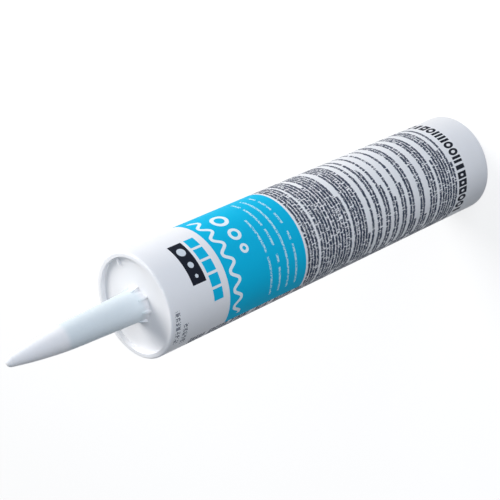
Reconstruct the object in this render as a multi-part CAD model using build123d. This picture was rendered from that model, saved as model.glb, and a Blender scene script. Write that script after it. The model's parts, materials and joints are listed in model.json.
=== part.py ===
from build123d import *
from math import atan2, cos, hypot, radians, sin, sqrt, tan
import os

# Caulk cartridge: a one-piece moulded tube with a closed nozzle, a sliding piston near its open
# rear end, the paste between the two, and the foil that seals the nozzle's throat.
# Millimetres. The origin is the centre of the open rear rim, on which the cartridge stands.
# +Z runs along the tube, from the rear rim to the nozzle. The printed front faces -Y.

# --- Barrel ---
barrel_radius = 25.0
barrel_length = 217.0  # rear rim to front rim
barrel_wall = 1.3
rear_edge_round = 0.4  # outer edge of the rear rim

# --- Lead-in: the bore's rear end is a little wider, so that the piston can be pressed in ---
lead_in_depth = 8.0
lead_in_widening = 0.2  # radial
lead_in_cone = 1.5  # length of the cone that runs from the lead-in to the bore

# --- Front end: a rounded rim around a recessed end wall ---
shoulder_round = 0.9
rim_land = 1.4  # width of the rim's flat top
recess_depth = 2.4
recess_draft = 0.25  # radial, over the recess's depth
end_wall = 1.6
bore_corner_round = 1.5

# --- Nozzle: a straight taper, then a long arc that runs into a ball tip ---
nozzle_length = 68.85  # front rim to tip
nozzle_knee_height = 31.0  # front rim to the end of the straight taper
nozzle_knee_radius = 6.4
nozzle_taper = 2.0  # degrees a side
nozzle_tip_radius = 2.3
nozzle_wall = 1.4
nozzle_plug = 8.0  # solid length at the tip, which the user cuts off
nozzle_root_round = 0.6

# --- Gussets round the nozzle's root ---
gusset_count = 8
gusset_first_angle = 2.5  # degrees from +X
gusset_thickness = 0.9
gusset_reach = 1.3  # beyond the nozzle's wall
gusset_height = 4.2
gusset_toe = 0.8  # height left at the gusset's outer end

# --- Index rib: a short raised line on the end wall, inwards from the recess's wall ---
index_rib_angle = -7.5  # degrees from +X
index_rib_length = 3.4
index_rib_width = 0.9
index_rib_height = 1.2

# --- Piston: a cup, open to the rear, with a sealing lip at each end ---
piston_setback = 17.0  # rear rim to the piston's rear edge
piston_height = 23.0
piston_wall = 1.3
piston_crown = 1.8
piston_corner_round = 1.5  # inside, between skirt and crown
piston_clearance = 0.05  # radial, lip to bore
lip_relief = 0.8  # how far the skirt between the lips stands back from the bore
lip_height = 2.0
lip_slope = 1.0  # length of the cone between a lip and the skirt
crown_chamfer = 2.0

# --- Foil across the nozzle's throat ---
foil_thickness = 0.15
foil_weld_width = 2.8  # welded ring around the throat

# --- Paste ---
paste_gap = 0.05  # between the paste and the piston's crown
stop_gap = 0.5  # between the crown and the end wall when the piston has come to its stop

# --- Sizes that follow ---
bore_radius = barrel_radius - barrel_wall
lead_in_radius = bore_radius + lead_in_widening
end_outer_z = barrel_length - recess_depth
end_inner_z = end_outer_z - end_wall
recess_top_radius = barrel_radius - shoulder_round - rim_land
recess_foot_radius = recess_top_radius - recess_draft

taper = radians(nozzle_taper)
tip_z = barrel_length + nozzle_length
knee_z = barrel_length + nozzle_knee_height
root_radius = nozzle_knee_radius + (knee_z - end_outer_z) * tan(taper)
throat_radius = nozzle_knee_radius - nozzle_wall / cos(taper) + (knee_z - end_inner_z) * tan(taper)
foil_radius = throat_radius + foil_weld_width

piston_front_z = piston_setback + piston_height
lip_radius = bore_radius - piston_clearance
skirt_radius = bore_radius - lip_relief
cup_radius = skirt_radius - piston_wall
piston_travel = end_inner_z - foil_thickness - stop_gap - piston_front_z


def arc_about(centre, radius, start, end):
    """The short arc round centre from start to end, which both lie at that radius."""
    middle = ((start[0] + end[0]) / 2 - centre[0], (start[1] + end[1]) / 2 - centre[1])
    stretch = radius / hypot(*middle)
    bulge = (centre[0] + middle[0] * stretch, centre[1] + middle[1] * stretch)
    return ThreePointArc(start, bulge, end)


def turned(edges):
    """The solid that a closed outline of (radius, height) edges sweeps round Z."""
    outline = make_face(Plane.XZ * Wire(edges))
    return revolve(outline, Axis.Z)


def chain(*points):
    """Straight edges from each point to the next."""
    return [Line(a, b) for a, b in zip(points, points[1:])]


def nozzle_lines():
    """The nozzle's outline: outside from tip to root, and inside from throat to plug.

    The long arc touches the straight taper at the knee and the ball of the tip from within.
    """
    knee = (nozzle_knee_radius, knee_z)
    ball_z = tip_z - nozzle_tip_radius
    away = (cos(taper), sin(taper))  # square to the taper, pointing outwards
    rise = knee_z - ball_z
    reach = nozzle_knee_radius**2 + rise**2 - nozzle_tip_radius**2
    lean = nozzle_knee_radius * away[0] + rise * away[1] - nozzle_tip_radius
    arc_radius = reach / (2 * lean)
    centre = (knee[0] - arc_radius * away[0], knee[1] - arc_radius * away[1])
    to_ball = atan2(ball_z - centre[1], -centre[0])
    touch = (centre[0] + arc_radius * cos(to_ball), centre[1] + arc_radius * sin(to_ball))

    outside = [
        arc_about((0, ball_z), nozzle_tip_radius, (0, tip_z), touch),
        arc_about(centre, arc_radius, touch, knee),
        Line(knee, (root_radius, end_outer_z)),
    ]

    inner_arc_radius = arc_radius - nozzle_wall
    plug_z = tip_z - nozzle_plug
    plug_radius = centre[0] + sqrt(inner_arc_radius**2 - (plug_z - centre[1]) ** 2)
    inner_knee = (knee[0] - nozzle_wall * away[0], knee[1] - nozzle_wall * away[1])
    inside = [
        Line((throat_radius, end_inner_z), inner_knee),
        arc_about(centre, inner_arc_radius, inner_knee, (plug_radius, plug_z)),
        *chain((plug_radius, plug_z), (0, plug_z), (0, tip_z)),
    ]
    return outside, inside


def front_corner():
    """The bore's rounded inside corner, where the wall meets the end wall."""
    centre = (bore_radius - bore_corner_round, end_inner_z - bore_corner_round)
    return arc_about(centre, bore_corner_round, (bore_radius, centre[1]), (centre[0], end_inner_z))


def shell():
    """Barrel, end wall and hollow nozzle, turned in one piece."""
    outside, inside = nozzle_lines()
    shoulder = (barrel_radius - shoulder_round, barrel_length - shoulder_round)
    rear = (barrel_radius - rear_edge_round, rear_edge_round)
    edges = [
        *outside,
        *chain(
            (root_radius, end_outer_z),
            (recess_foot_radius, end_outer_z),
            (recess_top_radius, barrel_length),
            (shoulder[0], barrel_length),
        ),
        arc_about(shoulder, shoulder_round, (shoulder[0], barrel_length), (barrel_radius, shoulder[1])),
        Line((barrel_radius, shoulder[1]), (barrel_radius, rear[1])),
        arc_about(rear, rear_edge_round, (barrel_radius, rear[1]), (rear[0], 0)),
        *chain(
            (rear[0], 0),
            (lead_in_radius, 0),
            (lead_in_radius, lead_in_depth),
            (bore_radius, lead_in_depth + lead_in_cone),
            (bore_radius, end_inner_z - bore_corner_round),
        ),
        front_corner(),
        Line((bore_radius - bore_corner_round, end_inner_z), (throat_radius, end_inner_z)),
        *inside,
    ]
    solid = turned(edges)
    root = solid.edges().filter_by(GeomType.CIRCLE).sort_by_distance((root_radius, 0, end_outer_z))[0]
    return fillet(root, nozzle_root_round)


def gusset():
    """One web between the nozzle's root and the end wall, standing on +X."""
    buried = nozzle_wall / 2
    heel = root_radius - buried
    toe = root_radius + gusset_reach
    outline = Polyline(
        (heel, end_outer_z - buried),
        (toe, end_outer_z - buried),
        (toe, end_outer_z + gusset_toe),
        (root_radius, end_outer_z + gusset_height),
        (heel, end_outer_z + gusset_height),
        close=True,
    )
    return extrude(make_face(Plane.XZ * outline), gusset_thickness / 2, both=True)


def index_rib():
    """The short raised line on the end wall, on +X, with its outer end in the recess's wall."""
    outer = recess_top_radius
    sunk = end_wall / 2
    rib = Box(
        index_rib_length + outer - recess_foot_radius,
        index_rib_width,
        index_rib_height + sunk,
        align=(Align.MAX, Align.CENTER, Align.MIN),
    )
    return Pos(outer, 0, end_outer_z - sunk) * rib


def cartridge():
    solid = shell()
    for n in range(gusset_count):
        solid += Rot(0, 0, gusset_first_angle + n * 360 / gusset_count) * gusset()
    return solid + Rot(0, 0, index_rib_angle) * index_rib()


def piston():
    front_lip_top = piston_front_z - crown_chamfer
    front_lip_foot = front_lip_top - lip_height
    rear_lip_top = piston_setback + lip_height
    crown_inner_z = piston_front_z - piston_crown
    corner = (cup_radius - piston_corner_round, crown_inner_z - piston_corner_round)
    edges = [
        *chain(
            (0, crown_inner_z),
            (0, piston_front_z),
            (lip_radius - crown_chamfer, piston_front_z),
            (lip_radius, front_lip_top),
            (lip_radius, front_lip_foot),
            (skirt_radius, front_lip_foot - lip_slope),
            (skirt_radius, rear_lip_top + lip_slope),
            (lip_radius, rear_lip_top),
            (lip_radius, piston_setback),
            (cup_radius, piston_setback),
            (cup_radius, corner[1]),
        ),
        arc_about(corner, piston_corner_round, (cup_radius, corner[1]), (corner[0], crown_inner_z)),
        Line((corner[0], crown_inner_z), (0, crown_inner_z)),
    ]
    return turned(edges)


def sealant():
    """The paste: it fills the bore from the piston's crown to the end wall and the foil."""
    rear_z = piston_front_z + paste_gap
    edges = [
        *chain(
            (0, end_inner_z - foil_thickness),
            (0, rear_z),
            (lip_radius - crown_chamfer, rear_z),
            (bore_radius, rear_z - crown_chamfer - piston_clearance),
            (bore_radius, end_inner_z - bore_corner_round),
        ),
        front_corner(),
        *chain(
            (bore_radius - bore_corner_round, end_inner_z),
            (foil_radius, end_inner_z),
            (foil_radius, end_inner_z - foil_thickness),
            (0, end_inner_z - foil_thickness),
        ),
    ]
    return turned(edges)


def inner_seal():
    disc = Cylinder(foil_radius, foil_thickness, align=(Align.CENTER, Align.CENTER, Align.MAX))
    return Pos(0, 0, end_inner_z) * disc


nodes = {
    "cartridge": cartridge(),
    "piston": piston(),
    "sealant": sealant(),
    "inner_seal": inner_seal(),
}

os.makedirs("parts", exist_ok=True)
for name, solid in nodes.items():
    export_step(solid, f"parts/{name}.step")
    print(f"{name}: {solid.volume / 1000:.2f} cm3")
print(f"piston travel: {piston_travel:.2f} mm, overall length: {tip_z:.2f} mm")
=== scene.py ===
"""A disposable caulking cartridge, finished around its packed construction model."""

import json
import math

import bmesh
import bpy
from mathutils import Matrix, Quaternion, Vector


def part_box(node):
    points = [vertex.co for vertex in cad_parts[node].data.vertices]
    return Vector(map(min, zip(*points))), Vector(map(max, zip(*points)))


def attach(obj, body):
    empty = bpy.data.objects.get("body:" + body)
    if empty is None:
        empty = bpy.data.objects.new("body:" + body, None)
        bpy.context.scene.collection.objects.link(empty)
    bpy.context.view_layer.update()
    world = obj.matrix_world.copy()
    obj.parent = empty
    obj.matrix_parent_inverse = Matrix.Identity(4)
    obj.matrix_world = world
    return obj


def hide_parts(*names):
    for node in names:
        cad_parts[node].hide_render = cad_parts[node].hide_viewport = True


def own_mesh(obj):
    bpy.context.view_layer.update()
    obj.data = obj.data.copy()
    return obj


bl_info = {
    "name": "Caulk Cartridge",
    "version": (1, 0, 0),
    "blender": (4, 5, 0),
    "location": "3D View > Sidebar > Cartridge",
    "description": "Finishes a printed polyethylene caulking cartridge, its piston, paste and foil",
    "category": "Object",
}

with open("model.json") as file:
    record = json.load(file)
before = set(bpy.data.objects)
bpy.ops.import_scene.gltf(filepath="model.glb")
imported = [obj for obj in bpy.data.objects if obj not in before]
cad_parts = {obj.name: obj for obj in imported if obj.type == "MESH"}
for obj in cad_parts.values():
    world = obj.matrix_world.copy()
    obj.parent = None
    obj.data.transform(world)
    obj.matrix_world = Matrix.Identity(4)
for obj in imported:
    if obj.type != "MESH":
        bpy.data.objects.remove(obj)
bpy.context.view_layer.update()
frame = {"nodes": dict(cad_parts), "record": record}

MM = 0.001
mounts = {mount["name"]: mount for mount in frame["record"]["mounts"]}

barrel_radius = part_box("cartridge")[1].x
front_rim_z = mounts["front_rim"]["pos_m"][2]
crown_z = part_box("piston")[1].z
foil_rear_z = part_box("inner_seal")[0].z
paste_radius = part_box("sealant")[1].x

# Degrees of arc on the barrel are counted from the middle of the printed front, and grow
# anticlockwise seen from the nozzle. Heights are counted from the rear rim.


# --- Settings -------------------------------------------------------------------------------


def colour_setting(name, description, hex_value):
    """A colour that a user can change, kept as an sRGB hex string."""
    return bpy.props.StringProperty(name=name, description=description, default=hex_value)


def length_setting(name, description, millimetres):
    return bpy.props.FloatProperty(
        name=name,
        description=description,
        default=millimetres * MM,
        unit="LENGTH",
        subtype="DISTANCE",
    )


class CartridgeInks(bpy.types.PropertyGroup):
    """Colours of the plastic and of the inks printed on it."""

    plastic: colour_setting("Plastic", "White polyethylene of the cartridge", "#F2F2F3")
    # Painted shade: this cooler, greyer tint on the nozzle's thin hollow shank stands in for the shade
    # seen through its wall.
    shank_shade: colour_setting("Nozzle shank", "Thin hollow wall of the nozzle", "#DEE6E9")
    band: colour_setting("Band", "Teal ink of the band and the squares", "#00B9E2")
    panel: colour_setting("Panel", "Blue-black ink of the front panel", "#0C1220")
    text: colour_setting("Text", "Grey ink of the small rows", "#424959")
    heavy: colour_setting("Heavy row", "Black ink of the heavy row", "#161B26")
    stamp: colour_setting("Stamp", "Grey ink-jet dots near the shoulder", "#4F5663")
    pale_rows: colour_setting("Rows in the band", "Thin white ink of the band's small rows", "#B9E6F2")
    pale_band: colour_setting("Marks in the band", "White ink of the wavy line and rings", "#EEF7FA")
    pale_panel: colour_setting("Marks in the panel", "White ink of the panel's discs", "#D5DCE2")


class CartridgePrint(bpy.types.PropertyGroup):
    """Where each printed field lies along the barrel."""

    band_low: length_setting("Band start", "Rear edge of the teal band", 134.2)
    band_high: length_setting("Band end", "Front edge of the teal band", 182.6)
    row_pitch: length_setting("Row pitch", "Distance from one small row to the next", 1.93)
    heavy_low: length_setting("Heavy row start", "Rear edge of the heavy black row", 17.1)
    heavy_high: length_setting("Heavy row end", "Front edge of the heavy black row", 23.2)


class CartridgeStage(bpy.types.PropertyGroup):
    """Camera and lights."""

    camera_distance: length_setting("Camera distance", "Lens to the point aimed at", 762.1)
    camera_azimuth: bpy.props.FloatProperty(
        name="Camera azimuth",
        description="Round the cartridge, from straight in front of the print",
        default=math.radians(-5.64),
        subtype="ANGLE",
    )
    camera_elevation: bpy.props.FloatProperty(
        name="Camera elevation",
        description="Above the floor",
        default=math.radians(38.38),
        subtype="ANGLE",
    )
    camera_roll: bpy.props.FloatProperty(
        name="Camera roll",
        description="Turns the picture, so that the nozzle points down to the left",
        default=math.radians(114.28),
        subtype="ANGLE",
    )
    camera_lens: bpy.props.FloatProperty(
        name="Camera lens",
        description="Focal length on a sensor 36 mm wide",
        default=114.56,
        unit="CAMERA",
    )
    key_level: bpy.props.FloatProperty(
        name="Key level",
        description="Light of the key lamp, where 1 shows a colour as it is written",
        default=0.8,
    )
    fill_level: bpy.props.FloatProperty(
        name="Fill level",
        description="Light of the front lamp, where 1 shows a colour as it is written",
        default=0.5,
    )
    sky_level: bpy.props.FloatProperty(
        name="Sky level",
        description="Light from all round, where 1 shows a colour as it is written",
        default=0.33,
    )


# --- Helpers --------------------------------------------------------------------------------


def linear(hex_value):
    """An sRGB hex string as linear RGBA."""
    parts = [int(hex_value[i : i + 2], 16) / 255 for i in (1, 3, 5)]
    curve = [c / 12.92 if c <= 0.04045 else ((c + 0.055) / 1.055) ** 2.4 for c in parts]
    return (*curve, 1.0)


def add(tree, kind, settings=None, **inputs):
    """A node with its settings and its inputs, each a value or another node's output socket.

    An input is named for its socket, or in0, in1... for its place.
    """
    node = tree.nodes.new(kind)
    for name, value in (settings or {}).items():
        setattr(node, name, value)
    for name, value in inputs.items():
        place = int(name[2:]) if name[:2] == "in" and name[2:].isdigit() else name.replace("_", " ")
        socket = node.inputs[place]
        if isinstance(value, bpy.types.NodeSocket):
            tree.links.new(value, socket)
        else:
            socket.default_value = value
    return node


def maths(tree, operation, *values):
    """The result of one sum on numbers and sockets."""
    places = {f"in{n}": value for n, value in enumerate(values)}
    return add(tree, "ShaderNodeMath", {"operation": operation}, **places).outputs[0]


def between(tree, value, low, high):
    """1 where value lies from low to high, else 0."""
    middle, half = (low + high) / 2, (high - low) / 2
    return maths(tree, "COMPARE", value, middle, half)


def ramp(tree, value, start, end):
    """Rises smoothly from 0 where value is start to 1 where it is end."""
    settings = {"interpolation_type": "SMOOTHSTEP"}
    ends = {"From_Min": min(start, end), "From_Max": max(start, end)}
    sense = {"To_Min": float(start > end), "To_Max": float(start < end)}
    node = add(tree, "ShaderNodeMapRange", settings, Value=value, **ends, **sense)
    return node.outputs[0]


def both(tree, first, *others):
    """1 where every mask is 1."""
    for other in others:
        first = maths(tree, "MULTIPLY", first, other)
    return first


def either(tree, first, *others):
    """1 where any mask is 1."""
    for other in others:
        first = maths(tree, "MAXIMUM", first, other)
    return first


def ink(tree, below, mask, colour):
    """The colour below, covered by an ink where the mask is 1."""
    settings = {"data_type": "RGBA"}
    return add(tree, "ShaderNodeMix", settings, in0=mask, in6=below, in7=colour).outputs[2]


def chance(tree, first, second):
    """A number from 0 to 1 that is the same all over one cell of a grid."""
    cell = add(tree, "ShaderNodeCombineXYZ", in0=first, in1=second).outputs[0]
    settings = {"noise_dimensions": "2D"}
    return add(tree, "ShaderNodeTexWhiteNoise", settings, Vector=cell).outputs["Value"]


def new_material(name):
    """An empty material, its tree and its surface shader."""
    material = bpy.data.materials.new(name)
    material.use_nodes = True
    tree = material.node_tree
    tree.nodes.clear()
    shader = add(tree, "ShaderNodeBsdfPrincipled")
    add(tree, "ShaderNodeOutputMaterial", Surface=shader.outputs[0])
    return material, tree, shader


def millimetres(tree):
    """Object coordinates in millimetres."""
    place = add(tree, "ShaderNodeTexCoord").outputs["Object"]
    settings = {"operation": "SCALE"}
    return add(tree, "ShaderNodeVectorMath", settings, in0=place, Scale=1 / MM).outputs[0]


def moulded_bump(tree, place, grain, depth):
    """The faint skin that a polished mould leaves: fine grain over slow waves, in millimetres."""
    fine = add(tree, "ShaderNodeTexNoise", Vector=place, Scale=1 / grain, Detail=3.0)
    slow = add(tree, "ShaderNodeTexNoise", Vector=place, Scale=1 / (grain * 18), Detail=1.0)
    waves = maths(tree, "MULTIPLY", slow.outputs[0], 3.0)
    height = maths(tree, "ADD", fine.outputs[0], waves)
    bump = add(tree, "ShaderNodeBump", Strength=0.35, Distance=depth * MM, Height=height)
    return bump.outputs[0]


def finish_node(name, material):
    """Gives a CAD node its finish and leaves its shape alone."""
    node = frame["nodes"][name]
    node.data.materials.clear()
    node.data.materials.append(material)
    return node


# --- Print ----------------------------------------------------------------------------------

# The small grey rows, from the band towards the rear, as paragraphs: the height in mm at which
# each starts, how many rows it has, and where its last row ends, in degrees. Every row starts
# at the same margin, and a paragraph's other rows run to the far margin.
PARAGRAPHS = (
    (133.0, 4, 128),
    (124.2, 5, 40),
    (114.3, 6, 12),
    (101.3, 6, -40),
    (88.7, 1, 128),
    (84.7, 2, 33),
    (78.7, 2, 4),
    (72.8, 2, -14),
    (66.8, 2, 0),
    (61.0, 3, -51),
    (53.3, 3, -51),
    (45.8, 3, 128),
    (38.5, 1, 7),
    (36.3, 4, 14),
    (28.3, 2, -5),
)
MARGIN_START = -74.0  # degrees
MARGIN_END = 128.0
BACK_COLUMNS = ((MARGIN_END + 4.0, 206.0), (210.0, MARGIN_START + 359.4))  # degrees, start and end
BACK_LOW, BACK_HIGH = 24.5, 203.0  # mm


class Field:
    """The barrel's surface laid flat: arc length round it and height along it, in mm."""

    def __init__(self, tree):
        self.tree = tree
        self.place = millimetres(tree)
        split = add(tree, "ShaderNodeSeparateXYZ", Vector=self.place)
        x, y, self.z = split.outputs
        facing = maths(tree, "MULTIPLY", y, -1.0)
        turn = maths(tree, "ARCTAN2", x, facing)
        self.degrees = maths(tree, "DEGREES", turn)
        self.arc = maths(tree, "MULTIPLY", turn, barrel_radius / MM)
        across = maths(tree, "MULTIPLY", x, x)
        self.radius = maths(tree, "SQRT", maths(tree, "MULTIPLY_ADD", y, y, across))
        self.skin = maths(tree, "GREATER_THAN", self.radius, barrel_radius / MM - 0.4)


def small_print(field, row, seed):
    """Ink of greeked rows: marks of many widths with word spaces, and no letters.

    row counts rows, and its fraction runs across one: a dense middle, as tall as small letters,
    with sparser marks on both sides of it, as stems make.
    """
    tree = field.tree
    space, inked_share = 0.45, 0.94  # width in mm of a place for a space, and the share that is ink
    stroke, levels = 0.33, 5.0  # width of a mark in mm, and how many stand across a row
    shift = 3.37  # mm, from one row to the next, so that no marks line up
    bands = ((0.02, 0.19, 0.55), (0.19, 0.82, 0.93), (0.82, 0.95, 0.35))  # from, to, share inked

    number = maths(tree, "FLOOR", row)
    across = maths(tree, "FRACT", row)
    run = maths(tree, "MULTIPLY_ADD", number, shift, maths(tree, "ADD", field.arc, seed))
    place = maths(tree, "FLOOR", maths(tree, "DIVIDE", run, space))
    inked = maths(tree, "LESS_THAN", chance(tree, place, number), inked_share)
    mark = maths(tree, "FLOOR", maths(tree, "DIVIDE", run, stroke))
    level = maths(tree, "FLOOR", maths(tree, "MULTIPLY", across, levels))
    key = maths(tree, "MULTIPLY_ADD", number, levels + 2.0, level)
    share = 0.0
    for low, high, band_share in bands:
        share = maths(tree, "MULTIPLY_ADD", between(tree, across, low, high), band_share, share)
    marks = maths(tree, "LESS_THAN", chance(tree, mark, key), share)
    return both(tree, inked, marks)


def front_rows(field, pitch):
    """Mask of the small grey rows on the front, paragraph by paragraph."""
    tree = field.tree
    rows_apart = 20.0  # more than a paragraph has, so that no two rows share a number
    row, shown = 0.0, 0.0
    for index, (top, count, last_end) in enumerate(PARAGRAPHS):
        base = rows_apart * index
        local = maths(tree, "MULTIPLY_ADD", field.z, -1 / pitch, top / pitch + base)
        inside = between(tree, local, base, base + count)
        is_last = maths(tree, "GREATER_THAN", local, base + count - 1)
        row_end = maths(tree, "MULTIPLY_ADD", is_last, last_end - MARGIN_END, MARGIN_END)
        before = maths(tree, "LESS_THAN", field.degrees, row_end)
        row = maths(tree, "MULTIPLY_ADD", local, inside, row)
        shown = maths(tree, "MULTIPLY_ADD", inside, before, shown)
    started = maths(tree, "GREATER_THAN", field.degrees, MARGIN_START)
    return both(tree, small_print(field, row, 5.0), shown, started)


def back_rows(field, pitch):
    """Mask of two columns of small rows round the back, in even paragraphs.

    A paragraph's last row ends early, where chance puts it.
    """
    tree = field.tree
    rows_each = 7.0
    first_row = 400.0  # past every row of the front
    shortest = 0.2  # a last row's least share of its column
    row = maths(tree, "MULTIPLY_ADD", field.z, -1 / pitch, BACK_HIGH / pitch + first_row)
    group = maths(tree, "DIVIDE", maths(tree, "FLOOR", row), rows_each)
    is_last = maths(tree, "GREATER_THAN", maths(tree, "FRACT", group), 1 - 1.5 / rows_each)
    full_turn = maths(tree, "MODULO", maths(tree, "ADD", field.degrees, 360.0), 360.0)
    columns = 0.0
    for seed, (start, end) in zip((3.0, 8.0), BACK_COLUMNS):
        cut = maths(tree, "MULTIPLY", is_last, chance(tree, maths(tree, "FLOOR", group), seed))
        row_end = maths(tree, "MULTIPLY_ADD", cut, (1 - shortest) * (start - end), end)
        started = maths(tree, "GREATER_THAN", full_turn, start)
        before = maths(tree, "LESS_THAN", full_turn, row_end)
        columns = either(tree, columns, both(tree, started, before))
    tall = between(tree, field.z, BACK_LOW, BACK_HIGH)
    return both(tree, small_print(field, row, 11.0), tall, columns)


def white_rows(field, low):
    """Four widely spaced white rows in the rear part of the band, the last one shorter."""
    tree = field.tree
    pitch, word_width, stroke_width = 5.35, 2.1, 0.4  # mm
    levels = 14.0  # marks that would stand across one pitch
    word_share, mark_share = 0.84, 0.7
    shift = 5.9  # mm, from one row to the next, so that no marks line up
    start, end, last_end = -61.0, 64.0, 30.0  # degrees
    row = maths(tree, "MULTIPLY_ADD", field.z, 1 / pitch, -low / pitch)
    number = maths(tree, "FLOOR", row)
    across = maths(tree, "FRACT", row)
    in_row = between(tree, across, 0.40, 0.62)
    four = between(tree, number, -0.5, 3.5)
    is_last = maths(tree, "GREATER_THAN", number, 2.5)
    row_end = maths(tree, "MULTIPLY_ADD", is_last, last_end - end, end)
    before = maths(tree, "LESS_THAN", field.degrees, row_end)
    started = maths(tree, "GREATER_THAN", field.degrees, start)
    shifted = maths(tree, "MULTIPLY_ADD", number, shift, field.arc)
    word = maths(tree, "FLOOR", maths(tree, "DIVIDE", shifted, word_width))
    is_word = maths(tree, "LESS_THAN", chance(tree, word, number), word_share)
    stroke = maths(tree, "FLOOR", maths(tree, "DIVIDE", shifted, stroke_width))
    level = maths(tree, "FLOOR", maths(tree, "MULTIPLY", across, levels))
    key = maths(tree, "MULTIPLY_ADD", number, 11.0, level)
    marks = maths(tree, "LESS_THAN", chance(tree, stroke, key), mark_share)
    return both(tree, in_row, four, before, started, is_word, marks)


def disc(field, degrees, height, radius, hole=0.0):
    """Mask of a flat disc or ring on the barrel."""
    tree = field.tree
    across = maths(tree, "SUBTRACT", field.arc, math.radians(degrees) * barrel_radius / MM)
    along = maths(tree, "SUBTRACT", field.z, height)
    square = maths(tree, "MULTIPLY", across, across)
    far = maths(tree, "SQRT", maths(tree, "MULTIPLY_ADD", along, along, square))
    return between(tree, far, hole, radius)


def block(field, degrees_low, degrees_high, low, high):
    """Mask of a rectangle on the barrel."""
    tree = field.tree
    round_it = between(tree, field.degrees, degrees_low, degrees_high)
    return both(tree, round_it, between(tree, field.z, low, high))


def bead_line(field, height, degrees_low, degrees_high):
    """Mask of a wavy line that runs round the barrel, like a laid bead."""
    tree = field.tree
    wave, swing, half = 8.6, 2.0, 0.8  # mm: length of a wave, its height, half the line's width
    turn = maths(tree, "MULTIPLY", field.arc, 2 * math.pi / wave)
    centre = maths(tree, "MULTIPLY_ADD", maths(tree, "SINE", turn), swing, height)
    slope = maths(tree, "MULTIPLY", maths(tree, "COSINE", turn), 2 * math.pi * swing / wave)
    stretch = maths(tree, "SQRT", maths(tree, "MULTIPLY_ADD", slope, slope, 1.0))
    off = maths(tree, "ABSOLUTE", maths(tree, "SUBTRACT", field.z, centre))
    near = maths(tree, "LESS_THAN", maths(tree, "DIVIDE", off, stretch), half)
    return both(tree, near, between(tree, field.degrees, degrees_low, degrees_high))


def heavy_row(field, low, high):
    """Mask of a row of heavy plain marks: bars, rings, frames and twin bars, in no order."""
    tree = field.tree
    pitch, middle = 4.2, (low + high) / 2  # mm
    start, end = -74.0, 76.0  # degrees
    ring_width = 3.6  # mm, drawn out to the row's height
    cell = maths(tree, "DIVIDE", field.arc, pitch)
    number = maths(tree, "FLOOR", cell)
    across = maths(tree, "MULTIPLY_ADD", maths(tree, "FRACT", cell), pitch, -pitch / 2)
    along = maths(tree, "SUBTRACT", field.z, middle)
    pick = chance(tree, number, 2.0)
    wide = maths(tree, "ABSOLUTE", across)
    tall = maths(tree, "LESS_THAN", maths(tree, "ABSOLUTE", along), (high - low) / 2)
    flat = maths(tree, "MULTIPLY", along, ring_width / (high - low))
    square = maths(tree, "MULTIPLY", across, across)
    far = maths(tree, "SQRT", maths(tree, "MULTIPLY_ADD", flat, flat, square))
    bar = both(tree, tall, maths(tree, "LESS_THAN", wide, 1.15), between(tree, pick, 0.0, 0.25))
    ring = both(tree, between(tree, far, 0.8, 1.9), between(tree, pick, 0.25, 0.6))
    box = both(
        tree,
        tall,
        maths(tree, "LESS_THAN", wide, 1.75),
        maths(tree, "GREATER_THAN", far, 0.65),
        between(tree, pick, 0.6, 0.85),
    )
    twin = both(tree, tall, between(tree, wide, 0.35, 1.75), between(tree, pick, 0.85, 1.0))
    marks = either(tree, bar, ring, box, twin)
    return both(tree, marks, between(tree, field.degrees, start, end))


def stamp_dots(field):
    """Mask of two short rows of ink-jet dots near the shoulder, in no order."""
    tree = field.tree
    pitch = 0.56  # mm, from dot to dot
    dot_share = 0.66
    group = 4.0  # columns, of which the first is left bare
    columns = maths(tree, "DIVIDE", field.arc, pitch)
    rows = maths(tree, "DIVIDE", field.z, pitch)
    far_squared = 0.0
    for counter in (columns, rows):
        off = maths(tree, "SUBTRACT", maths(tree, "FRACT", counter), 0.5)
        far_squared = maths(tree, "MULTIPLY_ADD", off, off, far_squared)
    round_dot = maths(tree, "LESS_THAN", far_squared, 0.24)
    picked = chance(tree, maths(tree, "FLOOR", columns), maths(tree, "FLOOR", rows))
    kept = maths(tree, "LESS_THAN", picked, dot_share)
    in_group = maths(tree, "FRACT", maths(tree, "DIVIDE", columns, group))
    not_gap = maths(tree, "GREATER_THAN", in_group, 1 / group)
    front = block(field, -68.0, -29.0, 211.9, 214.7)
    rear = block(field, -73.0, -46.0, 207.4, 210.2)
    return both(tree, round_dot, kept, not_gap, either(tree, front, rear))


def teal_squares(field):
    """Mask of the row of squares between the panel and the band."""
    count, pitch, half = 5, 15.2, 6.2  # degrees
    squares = 0.0
    for n in range(count):
        middle = -30.0 + pitch * n
        square = block(field, middle - half, middle + half, 186.4, 191.9)
        squares = either(field.tree, squares, square)
    return squares


def row_of_discs(field, height, discs):
    """Mask of discs or rings side by side: degrees, radius and, for a ring, the hole's radius."""
    row = 0.0
    for degrees, *radii in discs:
        row = either(field.tree, row, disc(field, degrees, height, *radii))
    return row


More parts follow.
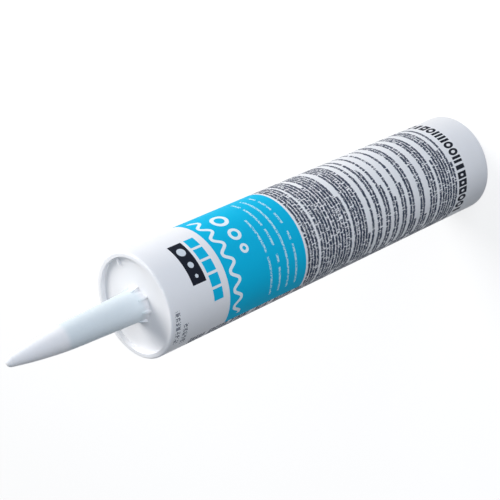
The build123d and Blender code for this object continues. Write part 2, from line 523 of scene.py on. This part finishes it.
def printed_polyethylene(inks, layout):
    """Injection-moulded white polyethylene, screen printed, with an ink-jet stamp.

    The resin is slightly translucent, so its shade is soft, and its satin skin gives a broad
    dim highlight. The cured ink is duller than the resin. The nozzle's wall is thin below its
    solid tip, and a cooler, greyer tint is painted there as the shade seen through that thin
    wall, so it looks cooler than the solid tip and the thick rim.
    """
    material, tree, shader = new_material("printed_moulded_polyethylene")
    field = Field(tree)
    band_low, band_high = layout.band_low / MM, layout.band_high / MM
    pitch = layout.row_pitch / MM
    shank_low = front_rim_z / MM - 2.3  # the end wall's face
    shank_high = front_rim_z / MM + 40.0
    shank_radius = 10.0
    cloud_size = 20.0  # mm

    cloud = add(tree, "ShaderNodeTexNoise", Vector=field.place, Scale=1 / cloud_size, Detail=2.0)
    plastic = linear(inks.plastic)
    shade = tuple(0.965 * c for c in plastic[:3]) + (1.0,)
    colour = ink(tree, shade, cloud.outputs[0], plastic)
    # Painted shade: the nozzle's thin hollow shank gets a cooler, greyer tint for the shade seen
    # through its wall.
    hollow_shade = both(
        tree,
        ramp(tree, field.z, shank_low, shank_low + 4.0),
        ramp(tree, field.z, shank_high + 1.8, shank_high - 1.8),
        maths(tree, "LESS_THAN", field.radius, shank_radius),
    )
    colour = ink(tree, colour, hollow_shade, linear(inks.shank_shade))

    band = block(field, MARGIN_START - 0.5, MARGIN_END, band_low, band_high)
    panel = block(field, -12.0, 37.0, 193.6, 201.4)
    panel_discs = row_of_discs(field, 197.5, ((-4.0, 0.9), (8.5, 1.5), (25.0, 2.2)))
    rings = row_of_discs(field, 167.2, ((2.0, 2.3, 1.0), (20.0, 3.3, 1.7), (44.0, 4.4, 2.5)))
    white = either(tree, bead_line(field, 177.6, -66.0, 62.0), rings)
    grey = either(tree, front_rows(field, pitch), back_rows(field, pitch))
    heavy = heavy_row(field, layout.heavy_low / MM, layout.heavy_high / MM)
    layers = (
        (either(tree, band, teal_squares(field)), inks.band),
        (both(tree, band, white_rows(field, band_low + 3.8)), inks.pale_rows),
        (both(tree, band, white), inks.pale_band),
        (panel, inks.panel),
        (both(tree, panel, panel_discs), inks.pale_panel),
        (grey, inks.text),
        (heavy, inks.heavy),
        (stamp_dots(field), inks.stamp),
    )
    covered = 0.0
    for mask, hex_value in layers:
        mask = both(tree, mask, field.skin)
        colour = ink(tree, colour, mask, linear(hex_value))
        covered = either(tree, covered, mask)

    tree.links.new(colour, shader.inputs["Base Color"])
    resin_roughness, ink_roughness = 0.5, 0.66
    roughness = maths(tree, "MULTIPLY_ADD", covered, ink_roughness - resin_roughness, resin_roughness)
    tree.links.new(roughness, shader.inputs["Roughness"])
    shader.inputs["IOR"].default_value = 1.54
    shader.inputs["Specular IOR Level"].default_value = 0.12
    shader.inputs["Subsurface Weight"].default_value = 0.2
    shader.inputs["Subsurface Radius"].default_value = (1.0, 0.95, 0.9)
    shader.inputs["Subsurface Scale"].default_value = 1.4 * MM
    skin = moulded_bump(tree, field.place, grain=0.7, depth=0.02)
    tree.links.new(skin, shader.inputs["Normal"])
    return material


# --- Finishes of the inner pieces -------------------------------------------------------------


def natural_polyethylene():
    """Moulded polyethylene with no pigment: milky, waxy and softer than the cartridge."""
    material, tree, shader = new_material("natural_moulded_polyethylene")
    place = millimetres(tree)
    # Milky clouds about 8 mm across, from resin that cooled at different speeds.
    cloud = add(tree, "ShaderNodeTexNoise", Vector=place, Scale=0.12, Detail=2.0)
    colour = ink(tree, linear("#DADCDB"), cloud.outputs[0], linear("#E4E6E5"))
    tree.links.new(colour, shader.inputs["Base Color"])
    shader.inputs["Roughness"].default_value = 0.36
    shader.inputs["IOR"].default_value = 1.51
    shader.inputs["Subsurface Weight"].default_value = 0.35
    shader.inputs["Subsurface Radius"].default_value = (1.0, 1.0, 1.0)
    shader.inputs["Subsurface Scale"].default_value = 2.0 * MM
    skin = moulded_bump(tree, place, grain=0.9, depth=0.03)
    tree.links.new(skin, shader.inputs["Normal"])
    return material


def silicone_paste():
    """Uncured silicone: a dense grey-white paste with a wet, smooth skin."""
    material, tree, shader = new_material("silicone_paste")
    place = millimetres(tree)
    # Soft folds about 4.5 mm apart, as filling leaves them.
    folds_and_shade = add(tree, "ShaderNodeTexNoise", Vector=place, Scale=0.22, Detail=3.0, Distortion=0.8)
    # Painted shade: the same folds make the paste darker in their hollows than on their crests.
    colour = ink(tree, linear("#BDBFBF"), folds_and_shade.outputs[0], linear("#CDCFCE"))
    tree.links.new(colour, shader.inputs["Base Color"])
    shader.inputs["Roughness"].default_value = 0.28
    shader.inputs["IOR"].default_value = 1.41
    bump = add(
        tree, "ShaderNodeBump", Strength=0.5, Distance=0.2 * MM, Height=folds_and_shade.outputs[0]
    ).outputs[0]
    tree.links.new(bump, shader.inputs["Normal"])
    return material


def laminated_foil():
    """Aluminium foil with a weld film: bright, with fine creases from the sealing head."""
    material, tree, shader = new_material("laminated_aluminium_foil")
    place = millimetres(tree)
    settings = {"feature": "DISTANCE_TO_EDGE"}
    # Creases about 1.7 mm apart.
    crease = add(tree, "ShaderNodeTexVoronoi", settings, Vector=place, Scale=0.6)
    height = maths(tree, "MINIMUM", crease.outputs["Distance"], 0.12)
    shader.inputs["Base Color"].default_value = linear("#D9DADC")
    shader.inputs["Metallic"].default_value = 1.0
    shader.inputs["Roughness"].default_value = 0.32
    bump = add(tree, "ShaderNodeBump", Strength=0.6, Distance=0.1 * MM, Height=height).outputs[0]
    tree.links.new(bump, shader.inputs["Normal"])
    return material


# --- Operators ------------------------------------------------------------------------------


class CARTRIDGE_OT_body(bpy.types.Operator):
    """Finish the moulded cartridge and its print"""

    bl_idname = "cartridge.body"
    bl_label = "Cartridge"

    def execute(self, context):
        scene = context.scene
        material = printed_polyethylene(scene.cartridge_inks, scene.cartridge_print)
        finish_node("cartridge", material)
        return {"FINISHED"}


class CARTRIDGE_OT_piston(bpy.types.Operator):
    """Finish the sliding piston"""

    bl_idname = "cartridge.piston"
    bl_label = "Piston"

    def execute(self, context):
        finish_node("piston", natural_polyethylene())
        return {"FINISHED"}


class CARTRIDGE_OT_foil(bpy.types.Operator):
    """Finish the foil across the nozzle's throat"""

    bl_idname = "cartridge.foil"
    bl_label = "Inner seal"

    def execute(self, context):
        finish_node("inner_seal", laminated_foil())
        return {"FINISHED"}


class CARTRIDGE_OT_paste(bpy.types.Operator):
    """Model the paste, which fills the barrel from the piston's crown to the foil"""

    bl_idname = "cartridge.paste"
    bl_label = "Paste"

    def execute(self, context):
        clearance, edge_round = 0.1 * MM, 1.6 * MM
        rear = crown_z + clearance
        front = foil_rear_z - clearance
        mesh = bmesh.new()
        bmesh.ops.create_circle(
            mesh,
            cap_ends=True,
            segments=96,
            radius=paste_radius - clearance,
            matrix=Matrix.Translation((0, 0, rear)),
        )
        base = mesh.faces[:]
        grown = bmesh.ops.extrude_face_region(mesh, geom=base)["geom"]
        top = {vert for vert in grown if isinstance(vert, bmesh.types.BMVert)}
        bmesh.ops.translate(mesh, verts=list(top), vec=(0, 0, front - rear))
        ends = [edge for edge in mesh.edges if len({vert in top for vert in edge.verts}) == 1]
        bmesh.ops.bevel(
            mesh,
            geom=ends,
            offset=edge_round,
            segments=4,
            profile=0.5,
            affect="EDGES",
            material=-1,
        )
        bmesh.ops.recalc_face_normals(mesh, faces=mesh.faces)
        data = bpy.data.meshes.new("paste")
        mesh.to_mesh(data)
        mesh.free()
        for polygon in data.polygons:
            polygon.use_smooth = True
        data.materials.append(silicone_paste())
        piece = bpy.data.objects.new("paste", data)
        context.scene.collection.objects.link(piece)
        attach(piece, "cartridge")
        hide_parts("sealant")
        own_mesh(piece)
        return {"FINISHED"}


class CARTRIDGE_OT_stage(bpy.types.Operator):
    """Make the floor, the soft lights and the camera"""

    bl_idname = "cartridge.stage"
    bl_label = "Stage"

    def execute(self, context):
        scene = context.scene
        stage = scene.cartridge_stage
        self.floor(context)
        self.sky(scene, stage)
        self.lamps(context, stage)
        self.camera(context, stage)
        scene.view_settings.view_transform = "Standard"
        return {"FINISHED"}

    def floor(self, context):
        half_width, fade_start, fade_end = 1.0, 0.45, 0.95  # metres from the middle
        mesh = bmesh.new()
        bmesh.ops.create_grid(mesh, x_segments=1, y_segments=1, size=half_width)
        data = bpy.data.meshes.new("floor")
        mesh.to_mesh(data)
        mesh.free()
        material = bpy.data.materials.new("white_floor")
        material.use_nodes = True
        tree = material.node_tree
        tree.nodes.clear()
        rays = add(tree, "ShaderNodeLightPath").outputs
        seen = either(
            tree, rays["Is Camera Ray"], rays["Is Glossy Ray"], rays["Is Transmission Ray"]
        )
        # The rays that show the floor see white with a faint shadow. The others see a plain grey,
        # so that the floor throws back no more light than a table does.
        plain = add(tree, "ShaderNodeBsdfDiffuse", Color=(0.36, 0.36, 0.36, 1.0)).outputs[0]
        shadow = add(tree, "ShaderNodeBsdfDiffuse", Color=(0.3, 0.3, 0.3, 1.0)).outputs[0]
        white = linear("#FFFFFF")
        glow = add(tree, "ShaderNodeEmission", Color=white, Strength=0.76).outputs[0]
        shown = add(tree, "ShaderNodeAddShader", in0=shadow, in1=glow).outputs[0]
        clear = add(tree, "ShaderNodeBsdfTransparent").outputs[0]
        mixed = add(tree, "ShaderNodeMixShader", in0=seen, in1=plain, in2=shown).outputs[0]
        place = add(tree, "ShaderNodeTexCoord").outputs["Object"]
        away = add(tree, "ShaderNodeVectorMath", {"operation": "LENGTH"}, in0=place).outputs["Value"]
        faded = ramp(tree, away, fade_start, fade_end)
        surface = add(tree, "ShaderNodeMixShader", in0=faded, in1=mixed, in2=clear).outputs[0]
        add(tree, "ShaderNodeOutputMaterial", Surface=surface)
        data.materials.append(material)
        floor = bpy.data.objects.new("floor", data)
        context.scene.collection.objects.link(floor)

    def sky(self, scene, stage):
        world = bpy.data.worlds.new("sky")
        world.use_nodes = True
        tree = world.node_tree
        tree.nodes.clear()
        rays = add(tree, "ShaderNodeLightPath").outputs
        seen = either(
            tree, rays["Is Camera Ray"], rays["Is Glossy Ray"], rays["Is Transmission Ray"]
        )
        cool, white = linear("#E4EDF9"), linear("#FFFFFF")
        light = add(tree, "ShaderNodeBackground", Color=cool, Strength=stage.sky_level).outputs[0]
        ground = add(tree, "ShaderNodeBackground", Color=white, Strength=1.0).outputs[0]
        mixed = add(tree, "ShaderNodeMixShader", in0=seen, in1=light, in2=ground).outputs[0]
        add(tree, "ShaderNodeOutputWorld", Surface=mixed)
        scene.world = world

    def lamps(self, context, stage):
        middle = Vector((0, 0, front_rim_z / 2))
        # Name, way to the lamp, distance and radius in metres, level and colour. At level 1 a disk
        # of that size and distance lights a face square to it with one unit.
        lamps = (
            ("key", Vector((0.765, 0.235, 0.63)), 0.9, 0.3, stage.key_level, "#FFFDFB"),
            ("fill", Vector((0.25, -0.9, 0.35)), 1.6, 0.8, stage.fill_level, "#EEF4FF"),
        )
        for name, way, distance, radius, level, hex_value in lamps:
            data = bpy.data.lights.new(name, "AREA")
            data.shape = "DISK"
            data.size = 2 * radius
            data.energy = level * math.pi**2 * (distance**2 + radius**2)
            data.color = linear(hex_value)[:3]
            lamp = bpy.data.objects.new(name, data)
            lamp.location = middle + way.normalized() * distance
            lamp.rotation_euler = way.to_track_quat("Z", "Y").to_euler()
            context.scene.collection.objects.link(lamp)

    def camera(self, context, stage):
        data = bpy.data.cameras.new("camera")
        data.sensor_width = 36.0
        data.lens = stage.camera_lens
        data.clip_start = 0.05
        camera = bpy.data.objects.new("camera", data)
        aim = Vector((3.09, 16.86, 131.58)) * MM
        azimuth, elevation = stage.camera_azimuth, stage.camera_elevation
        back = Vector(
            (
                math.sin(azimuth) * math.cos(elevation),
                -math.cos(azimuth) * math.cos(elevation),
                math.sin(elevation),
            )
        )
        camera.location = aim + back * stage.camera_distance
        camera.rotation_mode = "QUATERNION"
        level = (-back).to_track_quat("-Z", "Y")
        roll = Quaternion((0, 0, 1), -stage.camera_roll)
        camera.rotation_quaternion = level @ roll
        context.scene.collection.objects.link(camera)
        context.scene.camera = camera


class CARTRIDGE_PT_panel(bpy.types.Panel):
    """Lists the pieces of the cartridge"""

    bl_label = "Cartridge"
    bl_space_type = "VIEW_3D"
    bl_region_type = "UI"
    bl_category = "Cartridge"

    def draw(self, context):
        for operator in OPERATORS:
            self.layout.operator(operator.bl_idname)
        for group in (
            context.scene.cartridge_inks,
            context.scene.cartridge_print,
            context.scene.cartridge_stage,
        ):
            box = self.layout.box()
            for name in group.bl_rna.properties.keys():
                if name not in ("rna_type", "name"):
                    box.prop(group, name)


OPERATORS = (
    CARTRIDGE_OT_stage,
    CARTRIDGE_OT_body,
    CARTRIDGE_OT_piston,
    CARTRIDGE_OT_paste,
    CARTRIDGE_OT_foil,
)
GROUPS = (CartridgeInks, CartridgePrint, CartridgeStage)


def register():
    for kind in GROUPS + OPERATORS + (CARTRIDGE_PT_panel,):
        bpy.utils.register_class(kind)
    bpy.types.Scene.cartridge_inks = bpy.props.PointerProperty(type=CartridgeInks)
    bpy.types.Scene.cartridge_print = bpy.props.PointerProperty(type=CartridgePrint)
    bpy.types.Scene.cartridge_stage = bpy.props.PointerProperty(type=CartridgeStage)


def unregister():
    del bpy.types.Scene.cartridge_stage
    del bpy.types.Scene.cartridge_print
    del bpy.types.Scene.cartridge_inks
    for kind in reversed(GROUPS + OPERATORS + (CARTRIDGE_PT_panel,)):
        bpy.utils.unregister_class(kind)


def main():
    register()
    bpy.ops.cartridge.stage()
    bpy.ops.cartridge.body()
    bpy.ops.cartridge.piston()
    bpy.ops.cartridge.paste()
    bpy.ops.cartridge.foil()


if __name__ == "__main__":
    main()
